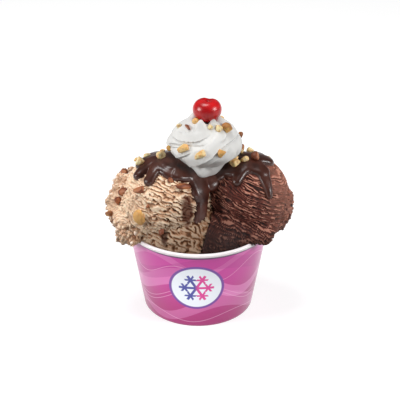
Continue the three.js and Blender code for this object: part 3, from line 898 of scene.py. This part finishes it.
def fudge_shell(name, centre, ways, reach, drips):
    height = np.full(reach.shape, NO_FUDGE)
    for drip in drips:
        height = melt(height, drip_height(ways, drip), 1.2)
    surface = even_out(np.minimum(reach, SCOOP_RADIUS + 1.2), 30) + height
    rings = (centre + ways * surface[..., None]) * MM
    rows = int((height.max(1) > NO_FUDGE + 0.1).nonzero()[0].max()) + 2
    piece = turned_surface(name, rings[:rows])
    shape = bmesh.new()
    shape.from_mesh(piece.data)
    shape.verts.ensure_lookup_table()
    levels = np.append(height[:rows].reshape(-1), [0.0, 3 * NO_FUDGE])
    hidden = [vertex for vertex, level in zip(shape.verts, levels) if level < CUT_LEVEL]
    bmesh.ops.delete(shape, geom=hidden, context="VERTS")
    shape.to_mesh(piece.data)
    shape.free()
    wall = piece.modifiers.new("thickness", "SOLIDIFY")
    wall.thickness, wall.offset = FUDGE_THICKNESS * MM, -1
    return apply_modifiers(piece)


def valley_pool():
    azimuth, polar = np.meshgrid(np.arange(96) * 3.75, np.linspace(2, 178, 60))
    ways = direction(azimuth, polar)
    return turned_surface("pool", (POOL_MIDDLE + ways * POOL_HALF) * MM)


shells = [fudge_shell("fudge_left", PRALINE_CENTRE, praline_ways, praline_reach, PRALINE_DRIPS),
          fudge_shell("fudge_right", CHOCOLATE_CENTRE, chocolate_ways, chocolate_reach, CHOCOLATE_DRIPS),
          valley_pool()]
print(len(PRALINE_DRIPS), "and", len(CHOCOLATE_DRIPS), "tongues of fudge")

# %% [markdown]
# The two balls' fudge and the pool are still three closed shells. A voxel remesh makes one skin of
# them, and a little smoothing rounds the seams, as thick syrup would. The sauce is a dark, slightly
# cloudy brown under a thin coat, because it is wet.


# %% Melt the fudge together
def joined(name, *pieces):
    shape = bmesh.new()
    for piece in pieces:
        shape.from_mesh(piece.data)
    mesh = bpy.data.meshes.new(name)
    shape.to_mesh(mesh)
    shape.free()
    discard(*pieces)
    return wrap_mesh(name, mesh)


def melt_together(piece, voxel, smoothing):
    remesh = piece.modifiers.new("voxels", "REMESH")
    remesh.mode, remesh.voxel_size, remesh.use_smooth_shade = "VOXEL", voxel, True
    soften = piece.modifiers.new("soften", "SMOOTH")
    soften.factor, soften.iterations = 0.5, smoothing
    return apply_modifiers(piece)


def wet_fudge():
    finish = Finish("wet_fudge", srgb(86, 47, 36), Roughness=0.34, Coat_Weight=0.25, Coat_Roughness=0.27,
                    Specular_IOR_Level=0.35)
    cloudy = finish.grain(120, detail=3)
    colour = finish.mix(cloudy.ease(0.3, 0.7), srgb(50, 22, 15), srgb(76, 38, 27))
    finish.bump(finish.grain(260), 0.0004, 0.25)
    return finish.set(Base_Color=colour, Roughness=cloudy * 0.16 + 0.26)


fudge = melt_together(joined("fudge", *shells), 0.0005, 4)
settle(fudge, "hot_fudge", wet_fudge())

# %% [markdown]
# The cream is piped through a wide star nozzle that turns as it rises. The rope climbs steeply
# across the front, runs level round the back and comes round again, and its edge stands out as a
# lip over the groove below. A lip is a path over the unrolled side (angle and height). Above it
# the surface bulges, below it steps in, and close to it the surface hangs down.

# %% Lay out the lips
CREAM_CENTRE = (4.2, -0.3)
CREAM_OUTLINE = np.array([
    (0, 96.4), (7.4, 97.4), (10.6, 99.4), (12.6, 102.6), (14.6, 106), (17.0, 109.4), (20.2, 112.6),
    (24.2, 115.6), (25.6, 119), (24.6, 122.8), (21.8, 127), (18.2, 130.6), (13.6, 133.8),
    (10.4, 136.2), (8.4, 136.6), (6.0, 134.8), (0, 134)])
UNROLLED_RADIUS = 21.0
GROOVE_DEPTH = 1.45
TAIL_ANGLE, TAIL_HEIGHT, TAIL_REACH = -100, 103, 4.4
# Each lip: its path as (angle, height), the bulge above it and the groove below it, in millimetres
LIPS = [
    ([(-128, 111), (-110, 114.6), (-99, 117.6), (-85, 121), (-76, 124.4), (-62, 127), (-35, 128),
      (30, 127.5), (90, 127.2), (150, 127.6), (203, 128.2), (226, 129), (249, 130), (262, 131.6),
      (277, 133.2), (289, 135.4)], 2.2, 3.6),
    ([(195, 130.5), (214, 132), (229, 133), (238, 134.6), (243, 137)], 0.9, 1.2),
    ([(-100, 108), (-93, 111.4), (-85, 115), (-76, 118.4), (-66, 120.8), (-54, 122.8), (-42, 124)], 1.3, 2.2),
    ([(-74, 108), (-60, 112), (-46, 116.6), (-30, 120.4)], 1.2, 2.0),
    ([(-42, 110), (-28, 115.5), (-14, 120.5), (2, 124.5)], 1.0, 1.6),
    ([(-172, 121.5), (-154, 124.6), (-132, 126.2), (-112, 126.8), (-97, 127.2), (-84, 128.2)], 0.8, 1.4),
    ([(-150, 114), (-134, 117.5), (-120, 121), (-108, 124)], 0.8, 1.3),
    ([(-66, 128.6), (-48, 130), (-30, 132), (-12, 134.6)], 0.9, 1.3),
    ([(-20, 112.5), (0, 116), (24, 120), (60, 123)], 0.9, 1.5),
    ([(50, 112), (75, 115), (105, 119), (140, 123)], 1.0, 1.8),
    ([(120, 112), (145, 115), (175, 119), (205, 122), (230, 125)], 1.0, 1.6),
    ([(20, 129), (60, 130.6), (100, 133), (130, 135.4)], 0.7, 1.2),
]
# Peaks that stand round the cherry: angle and rise
PEAKS = [(-106, 3.6), (-52, 3.4), (10, 2.2), (75, 2.8), (140, 2.4)]


def lip_relief(turn, level, path, bulge, groove):
    """Bulge and groove along one lip, and how far the surface is drawn down across it."""
    known = np.array(path, dtype=float)
    known[:, 0] = np.radians(known[:, 0]) * UNROLLED_RADIUS
    ends = np.concatenate([[0], np.cumsum(np.hypot(*np.diff(known, axis=0).T))])
    steps = np.linspace(0, ends[-1], max(12, int(ends[-1])))
    line = np.stack([np.interp(steps, ends, known[:, axis]) for axis in (0, 1)], -1)
    for _ in range(6):
        line[1:-1] = (line[:-2] + 2 * line[1:-1] + line[2:]) / 4
    best = np.full(turn.shape, 99.0)
    side, length = np.zeros(turn.shape), np.zeros(turn.shape)
    for lap in (-1, 0, 1):
        spot_x = turn * UNROLLED_RADIUS + lap * 2 * np.pi * UNROLLED_RADIUS
        for index, (a, b) in enumerate(zip(line[:-1], line[1:])):
            run = b - a
            t = ((spot_x - a[0]) * run[0] + (level - a[1]) * run[1]) / (run @ run)
            t = np.clip(t, 0, 1)
            off_x, off_z = spot_x - a[0] - t * run[0], level - a[1] - t * run[1]
            away = np.hypot(off_x, off_z)
            closer = away < best
            best = np.where(closer, away, best)
            side = np.where(closer, run[0] * off_z - run[1] * off_x > 0, side)
            length = np.where(closer, (index + t) * ends[-1] / (len(line) - 1), length)
    fade = smoothstep(0, 5, length) * (1 - smoothstep(ends[-1] - 5, ends[-1], length))
    signed = np.where(side > 0, best, -best)
    step = smoothstep(-0.5, 0.3, signed)
    above = bulge * np.exp(-np.clip(signed, 0, None) / 3.6)
    below = -GROOVE_DEPTH * groove * np.exp(np.clip(signed, None, 0) / 2.2)
    drawn = bulge * np.exp(-(((signed - 0.4) / 1.3) ** 2))
    return (above * step + below * (1 - step)) * fade, drawn * fade


print(len(LIPS), "lips and", len(PEAKS), "peaks")

# %% [markdown]
# The rosette's body is turned from an outline, like a pot on a wheel. Each place then moves in or
# out by the lips' relief and droops with them, and soft peaks rise round the cherry. A voxel remesh
# joins the folds and a little smoothing makes them soft. Whipped cream is matt and nearly white.


# %% Pipe the rosette
def rosette():
    rows, columns = ((170, 320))
    step = np.linspace(0, len(CREAM_OUTLINE) - 1, rows)
    known = np.arange(len(CREAM_OUTLINE))
    radius = np.interp(step, known, CREAM_OUTLINE[:, 0])
    height = np.interp(step, known, CREAM_OUTLINE[:, 1])
    for values in (radius, height):
        for _ in range(24):
            values[1:-1] = (values[:-2] + values[2:]) / 2
    angle = -np.pi + np.arange(columns) * 2 * np.pi / columns
    turn, level = np.meshgrid(angle, height[::-1])
    reach = np.broadcast_to(radius[::-1, None], turn.shape)
    relief, drawn = np.zeros(turn.shape), np.zeros(turn.shape)
    for path, bulge, groove in LIPS:
        added, pulled = lip_relief(turn, level, path, bulge, groove)
        relief, drawn = relief + added, drawn + pulled
    wide = smoothstep(3, 13, reach)
    hang = np.exp(-(((np.degrees(turn) - TAIL_ANGLE + 180) % 360 - 180) / 17) ** 2)
    low = np.exp(-(((level - TAIL_HEIGHT) / 5) ** 2))
    reach = reach - 0.6 * wide + relief * wide + TAIL_REACH * hang * low
    level = level - drawn * wide * 0.9
    turn = turn + drawn * wide * 0.5 / np.maximum(reach, 6)
    crown = smoothstep(133.6, 136.4, level) * smoothstep(4.5, 8, reach)
    for azimuth, rise in PEAKS:
        away = (np.degrees(turn) - azimuth + 180) % 360 - 180
        level = level + rise * crown * np.exp(-((away / 15) ** 2))
    points = np.stack([CREAM_CENTRE[0] + reach * np.cos(turn),
                       CREAM_CENTRE[1] + reach * np.sin(turn), level], -1) * MM
    return turned_surface("cream_rosette", points)


def whipped():
    finish = Finish("whipped", srgb(246, 244, 240), Roughness=0.55, Subsurface_Weight=0.12,
                    Subsurface_Scale=0.0015, Subsurface_Radius=(1.0, 0.9, 0.8), Specular_IOR_Level=0.35)
    soft = finish.grain(90, detail=3)
    finish.bump(finish.grain(420, detail=3), 0.0003, 0.35)
    return finish.set(Base_Color=finish.mix(soft, srgb(206, 205, 202), srgb(225, 224, 221)))


cream = melt_together(rosette(), 0.00042, 2)
settle(cream, "whipped_cream", whipped())

# %% [markdown]
# The cherry is candied: a round fruit with a dimple where the stem was, a faint crease down one
# side and a wet, syrupy skin that light enters. Its radius varies with direction, so one grid does
# it. The skin is a clear coat over a deep red that lets light scatter inside.


# %% Set the cherry
CHERRY_CENTRE = np.array([5.8, 0, 142.6])
CHERRY_RADIUS = 9.2
CREASE_AZIMUTH = 165


def cherry_form():
    azimuth, polar = np.meshgrid(np.arange(112) * 360 / 112, np.linspace(1, 179, 72))
    ways = direction(azimuth, polar)
    dimple = 2.6 * np.exp(-((polar / 20) ** 2)) + 1.2 * np.exp(-((polar / 48) ** 2))
    shoulders = 0.4 * smoothstep(30, 60, polar) * (1 - smoothstep(70, 115, polar))
    taper = 0.8 * smoothstep(95, 145, polar) - 1.2 * smoothstep(150, 180, polar)
    aside = (azimuth - CREASE_AZIMUTH + 180) % 360 - 180
    crease = 0.9 * np.exp(-((aside / 26) ** 2)) * (1 - smoothstep(30, 120, polar))
    reach = CHERRY_RADIUS + shoulders - dimple - taper - crease
    return turned_surface("candied_cherry", (CHERRY_CENTRE + ways * reach[..., None]) * MM)


def candied_skin():
    finish = Finish("candied_skin", srgb(200, 18, 26), Roughness=0.3, Coat_Weight=0.25,
                    Coat_Roughness=0.32, Specular_IOR_Level=0.35, Subsurface_Weight=0.2,
                    Subsurface_Scale=0.003, Subsurface_Radius=(1.0, 0.15, 0.1))
    mottle = finish.grain(160, detail=3).ease(0.35, 0.7)
    finish.bump(finish.grain(240), 0.0003, 0.3)
    return finish.set(Base_Color=finish.mix(mottle, srgb(172, 7, 15), srgb(208, 19, 25)))


cherry = cherry_form()
outward(cherry)
settle(cherry, "cherry", candied_skin())

# %% [markdown]
# Chopped almonds and peanuts lie on the fudge and on the cream. A chopped nut is a ball with flat
# cuts: in each direction its radius is the nearest of a few planes, blended so that the edges are
# a little worn. Where the ball's own skin is left the nut is brown, where it is cut it is pale.
# Geometry Nodes set a few such shapes on points, each turned, stretched and toned on its own.

# %% Chop the nuts
SHARPNESS = 18.0


def chopped_nut(name, rng, cuts):
    azimuth, polar = np.meshgrid(np.arange(28) * 360 / 28, np.linspace(4, 176, 17))
    ways = direction(azimuth, polar)
    facing = rng.normal(size=(cuts, 3))
    facing /= np.linalg.norm(facing, axis=1)[:, None]
    nearness = np.clip(ways @ facing.T, 0, None) / rng.uniform(0.5, 0.88, cuts)
    reach = ((nearness**SHARPNESS).sum(-1) + 1.0) ** (-1 / SHARPNESS)
    skin = smoothstep(0.9, 0.98, reach)
    dents = 0.035 * np.sin(7 * ways[..., 0] + 3 * cuts) * np.sin(6 * ways[..., 1] + 5 * ways[..., 2])
    piece = turned_surface(name, ways * (reach + dents)[..., None] * 0.5 * MM)
    keep_values(piece, "skin", np.append(skin.reshape(-1), [skin[0].mean(), skin[-1].mean()]))
    return piece


def scatter_rule(name, shapes, material):
    """Sets one of a few shapes on every point, by the points' own attributes."""
    rule = Rule(name, Size=1.12)
    size = rule.vector("MULTIPLY", rule.stored("size", "FLOAT_VECTOR"), rule.start.outputs["Size"])
    rule.set_shapes(shapes[::-1], rule.stored("pick", "INT"), size, rule.stored("turn", "FLOAT_VECTOR"))
    rule.finish(material)
    return rule


def nut_meat():
    finish = Finish("nut_meat", srgb(222, 184, 120), Roughness=0.5, Specular_IOR_Level=0.4,
                    Subsurface_Weight=0.1, Subsurface_Scale=0.001)
    tone, skin = finish.attribute("tone"), finish.attribute("skin")
    cloud = finish.grain(420, detail=3)
    pale = finish.mix(tone.ease(0.0, 0.6), srgb(242, 226, 176), srgb(228, 178, 98))
    cut = finish.mix(tone.ease(0.62, 0.95), pale, srgb(168, 100, 62))
    cut = finish.mix(cloud.ease(0.48, 0.68) * 0.6, cut, srgb(176, 122, 66))
    bark = finish.mix(tone.ease(0.3, 0.9), srgb(216, 156, 78), srgb(116, 58, 32))
    finish.bump(finish.grain(1300, detail=3), 0.0003, 0.6)
    return finish.set(Base_Color=finish.mix(skin * (0.4 + tone * 0.6), cut, bark))


nut_shapes = [chopped_nut(f"nut_shape_{index}", np.random.default_rng(40 + index), 4 + index % 3)
              for index in range(6)]
nut_rule = scatter_rule("chopped_nuts", nut_shapes, nut_meat())
print(len(nut_shapes), "shapes of nut")

# %% [markdown]
# Each nut's place is a direction from the middle of what it lies on. A ray cast inwards finds the
# surface. The nut's middle comes just above it, by a share of the nut's least size, so that its
# lower part is bedded.

# %% Scatter the nuts
# Each nut: its place as (azimuth, polar angle), its three sizes, its tone from pale to brown and
# its spin in degrees
PRALINE_NUTS = [
    ((-122, 30), (7.2, 5.4, 5.0), 0.1, 60), ((-84, 31), (6.8, 5.6, 5.0), 0.05, 70),
    ((-99, 36), (4.2, 3.4, 3.0), 0.25, 0), ((-68, 7), (7.0, 5.8, 5.0), 0.15, 30),
    ((-165, 22), (4.0, 1.6, 1.6), 0.3, 120), ((140, 38), (6.0, 4.6, 4.2), 0.3, 10),
    ((-165, 40), (5.0, 4.4, 3.6), 0.15, 80), ((160, 60), (4.4, 3.6, 3.4), 0.7, 45),
]
CHOCOLATE_NUTS = [
    ((-40, 22), (9.6, 5.8, 5.4), 0.3, 10), ((-69, 20), (6.0, 5.4, 5.0), 0.1, 40),
    ((-55, 16), (4.8, 4.2, 3.8), 0.2, 80), ((-12, 11), (5.0, 4.2, 3.8), 0.1, 20),
    ((65, 10), (7.0, 6.4, 5.2), 0.95, 35), ((166, 26), (4.8, 4.2, 4.6), 0.1, 0),
    ((-169, 26), (3.6, 3.0, 7.0), 0.85, 0), ((120, 34), (5.6, 4.4, 4.0), 0.3, 15),
    ((175, 50), (4.8, 4.0, 3.6), 0.2, 70), ((-150, 12), (4.0, 3.6, 3.2), 0.1, 50),
]
CREAM_NUTS = [
    ((-38, 72), (7.4, 6.2, 4.4), 0.3, 20), ((-7, 76), (9.6, 4.6, 3.8), 0.25, 42),
    ((25, 76), (6.0, 5.4, 4.4), 0.5, 70), ((-45, 23), (5.6, 5.0, 4.6), 0.3, 0),
    ((58, 43), (7.6, 6.2, 6.4), 0.7, 60), ((-52, 38), (6.4, 2.2, 2.4), 1.0, -10),
    ((-83, 47), (4.0, 3.4, 3.0), 0.05, 0), ((15, 30), (3.8, 3.2, 3.0), 0.15, 50),
    ((-73, 84), (4.2, 3.4, 3.2), 0.6, 0), ((38, 36), (5.0, 4.6, 4.2), 0.0, 30),
    ((150, 60), (6.4, 5.0, 4.4), 0.3, 35), ((-140, 66), (5.6, 4.6, 4.2), 0.45, 80),
    ((110, 78), (5.0, 4.2, 3.6), 0.8, 60), ((-165, 40), (4.6, 3.8, 3.4), 0.2, 25),
]
# Nuts and chunks that are bedded in the praline ice cream
PRALINE_CHUNKS = [
    ((-34, 90), (11.6, 8.8, 6.4), 0.42, 75), ((-40.7, 56), (9.6, 4.6, 3.6), 1.0, 10),
    ((12, 38), (7.4, 3.8, 3.4), 1.0, -38), ((28, 49), (10.5, 4.8, 3.6), 1.0, -35),
    ((-5, 104), (5.4, 4.4, 3.6), 1.0, 80), ((-24, 73), (3.0, 2.4, 2.0), 1.0, 20),
    ((-80, 75), (8.6, 6.0, 5.0), 0.95, 70), ((-79, 87), (7.4, 5.4, 4.6), 1.0, 30),
    ((-77, 99), (5.4, 4.4, 4.0), 0.8, 0), ((150, 62), (8.0, 5.0, 4.0), 0.95, 20),
    ((-160, 88), (7.0, 5.0, 4.0), 0.6, 60), ((-120, 70), (5.0, 4.0, 3.0), 1.0, 10),
]


def landing(tree, centre, way):
    """Where a ray cast inwards towards a centre meets a surface, and how the surface faces."""
    far = np.array(centre) * MM + way * 0.06
    return tree.ray_cast(Vector(far), Vector(-way))[:2]


def lay_nuts(name, node, beds, raised, seed):
    rng = np.random.default_rng(seed)
    places, sizes, turns, tones, picks = [], [], [], [], []
    for tree, centre, nuts in beds:
        for spot, size, tone, spin in nuts:
            place, facing = landing(tree, centre, direction(*spot))
            places.append(np.array(place) + np.array(facing) * min(size) * raised * MM)
            sizes.append(size)
            turned = Quaternion((0, 0, 1), math.radians(spin))
            turns.append(tuple((Vector(facing).to_track_quat("Z", "Y") @ turned).to_euler()))
            tones.append(tone)
            picks.append(int(rng.integers(len(nut_shapes))))
    points = make_object(name, np.array(places), [])
    keep_values(points, "size", sizes, "FLOAT_VECTOR")
    keep_values(points, "turn", turns, "FLOAT_VECTOR")
    keep_values(points, "tone", tones)
    keep_values(points, "pick", picks, "INT")
    replace_mesh(points, nut_rule.run(points))
    settle(points, node)


fudge_beds = [(sight_tree(fudge, praline), PRALINE_CENTRE, PRALINE_NUTS),
              (sight_tree(fudge, chocolate), CHOCOLATE_CENTRE, CHOCOLATE_NUTS)]
lay_nuts("nuts_on_fudge", "hot_fudge", fudge_beds, 0.25, 5)
cream_bed = (sight_tree(cream), (4.9, 0, 116), CREAM_NUTS)
lay_nuts("nuts_on_cream", "whipped_cream", [cream_bed], 0.2, 9)
chunk_bed = (sight_tree(praline), PRALINE_CENTRE, PRALINE_CHUNKS)
lay_nuts("praline_chunks", "praline_scoop", [chunk_bed], 0.08, 14)
discard(*nut_shapes)

# %% [markdown]
# Crumbs of ice cream and nut cling to the skirts, where the scoop cracked them off. Points strewn
# over the surface by its stored raggedness carry little chips of three shapes, each with its own
# size, turn and tone. The rule has a density, a size and a seed as inputs.


# %% Strew the crumbs
def crumb_chip(name, rng):
    azimuth, polar = np.meshgrid(np.arange(7) * 360 / 7, np.array([28.0, 80.0, 132.0]))
    reach = rng.uniform(0.35, 0.62, azimuth.shape)
    return turned_surface(name, direction(azimuth, polar) * reach[..., None] * MM)


def crumb_rule(name, chips, material):
    rule = Rule(name, Density=250000.0, Size=1.4, Seed=3)
    density = rule.stored("ragged").ease(0.35, 1.0) * rule.input("Density")
    rule.then("GeometryNodeDistributePointsOnFaces", {"distribute_method": "RANDOM"},
              {"Density": density, "Seed": rule.start.outputs["Seed"]})

    def chance(kind, low, high, seed):
        made = rule.add("FunctionNodeRandomValue", {"data_type": kind})
        used = [socket for socket in made.inputs if socket.enabled]
        for socket, value in ((used[0], low), (used[1], high), (used[-1], seed)):
            rule.feed(socket, value)
        return Wave(rule, next(socket for socket in made.outputs if socket.enabled))

    rule.store("tone", chance("FLOAT", 0.0, 1.0, 5))
    size = chance("FLOAT", 0.0, 1.0, 8)
    scale = (size * size * size * 1.5 + 0.4) * rule.input("Size")
    turn = chance("FLOAT_VECTOR", (0, 0, 0), (6, 6, 6), 2)
    rule.set_shapes(chips, chance("INT", 0, len(chips) - 1, 4), scale, turn)
    rule.finish(material)
    return rule


def crumb_finish(name, dark, middle, pale):
    finish = Finish(name, middle, Roughness=0.6)
    tone = finish.attribute("tone")
    colour = finish.mix(tone.ease(0.05, 0.3), dark, middle)
    finish.bump(finish.grain(1500), 0.0002, 0.5)
    return finish.set(Base_Color=finish.mix(tone.ease(0.4, 0.9), colour, pale))


def strew(name, scoop, node, material, **values):
    crumbs = wrap_mesh(name, scoop.data.copy())
    replace_mesh(crumbs, crumb_rule("strew_" + name, chips, material).run(crumbs, **values))
    settle(crumbs, node)


chips = [crumb_chip(f"chip_{index}", np.random.default_rng(70 + index)) for index in range(3)]
pale_crumb = crumb_finish("praline_crumb", srgb(140, 92, 62), srgb(216, 176, 146), srgb(246, 226, 208))
dark_crumb = crumb_finish("chocolate_crumb", srgb(44, 22, 19), srgb(86, 48, 40), srgb(128, 82, 72))
strew("praline_crumbs", praline, "praline_scoop", pale_crumb, Density=130000.0, Size=1.9, Seed=3)
strew("chocolate_crumbs", chocolate, "chocolate_scoop", dark_crumb, Density=80000.0, Size=1.5, Seed=3)
discard(*chips)

# %% [markdown]
# The studio is white: a pale floor that runs out of sight, an even bright surround, one large soft
# light above and one at either side that rims the scoops. Two weak spots from the front lift only
# the cup and the cream, as a photographer's snoots do.


# %% Light the studio
def lamp_at(name, kind, place, aim, power, **settings):
    light = bpy.data.lights.new(name, kind)
    light.energy = power
    for label, value in settings.items():
        setattr(light, label, value)
    lamp = bpy.data.objects.new(name, light)
    lamp.location = place
    lamp.rotation_euler = (Vector(aim) - Vector(place)).to_track_quat("-Z", "Y").to_euler()
    bpy.context.collection.objects.link(lamp)


def soft_box(name, place, power, size):
    lamp_at(name, "AREA", place, AIM, power, size=size)


def snoot(name, place, aim, power, cone):
    lamp_at(name, "SPOT", place, aim, power, spot_size=math.radians(cone), spot_blend=1.0,
            shadow_soft_size=0.03)


def white_room(strength):
    world = bpy.data.worlds.new("white_room")
    world.use_nodes = True
    world.node_tree.nodes["Background"].inputs["Color"].default_value = (1, 1, 1, 1)
    world.node_tree.nodes["Background"].inputs["Strength"].default_value = strength
    bpy.context.scene.world = world


def floor():
    finish = Finish("pale_floor", (0.4, 0.4, 0.4), Roughness=0.9, Emission_Color=(1, 1, 1),
                    Emission_Strength=0.74)
    corners = np.array([(-1, -1, 0), (1, -1, 0), (1, 1, 0), (-1, 1, 0)]) * FLOOR_HALF
    plane = make_object("floor", corners, [(0, 1, 2, 3)])
    plane.data.materials.append(finish.material)
    plane.visible_diffuse = False


AIM = (0, 0, 0.08)
FLOOR_HALF = 6.0
soft_box("top", (-0.15, 0.1, 0.95), 4.4, 0.35)
soft_box("left", (-0.85, -0.3, 0.45), 6.2, 0.3)
soft_box("right", (0.8, -0.3, 0.5), 6.2, 0.3)
snoot("cup_fill", (-0.1, -0.8, 0.04), (0, 0, 0.02), 17.0, 8)
snoot("cream_fill", (0.05, -0.8, 0.05), (0.004, 0, 0.098), 8.0, 4.0)
bpy.context.scene.view_settings.view_transform = "Standard"
white_room(0.14)
floor()
print(len(bpy.data.lights), "lights")

# %% [markdown]
# The camera stands where the photographer's did: the ellipses of the rim and the foot gave 28
# degrees down from 0.8 m, with a long lens. A small shift of the lens does the framing.

# %% Set the camera
ELEVATION = math.radians(28)
DISTANCE = 0.8
SENSOR = 36.0
PIXELS_PER_FRAME = 400
FOCAL_PIXELS = 1192
camera_data = bpy.data.cameras.new("photo_camera")
camera_data.sensor_width = SENSOR
camera_data.lens = FOCAL_PIXELS / PIXELS_PER_FRAME * SENSOR
camera_data.shift_x = 0.0045
camera_data.shift_y = -0.01125
camera = bpy.data.objects.new("photo_camera", camera_data)
camera.location = (0, -DISTANCE * math.cos(ELEVATION), AIM[2] + DISTANCE * math.sin(ELEVATION))
camera.rotation_euler = (math.pi / 2 - ELEVATION, 0, 0)
bpy.context.collection.objects.link(camera)
bpy.context.scene.camera = camera
print("lens", round(camera_data.lens, 1), "mm")
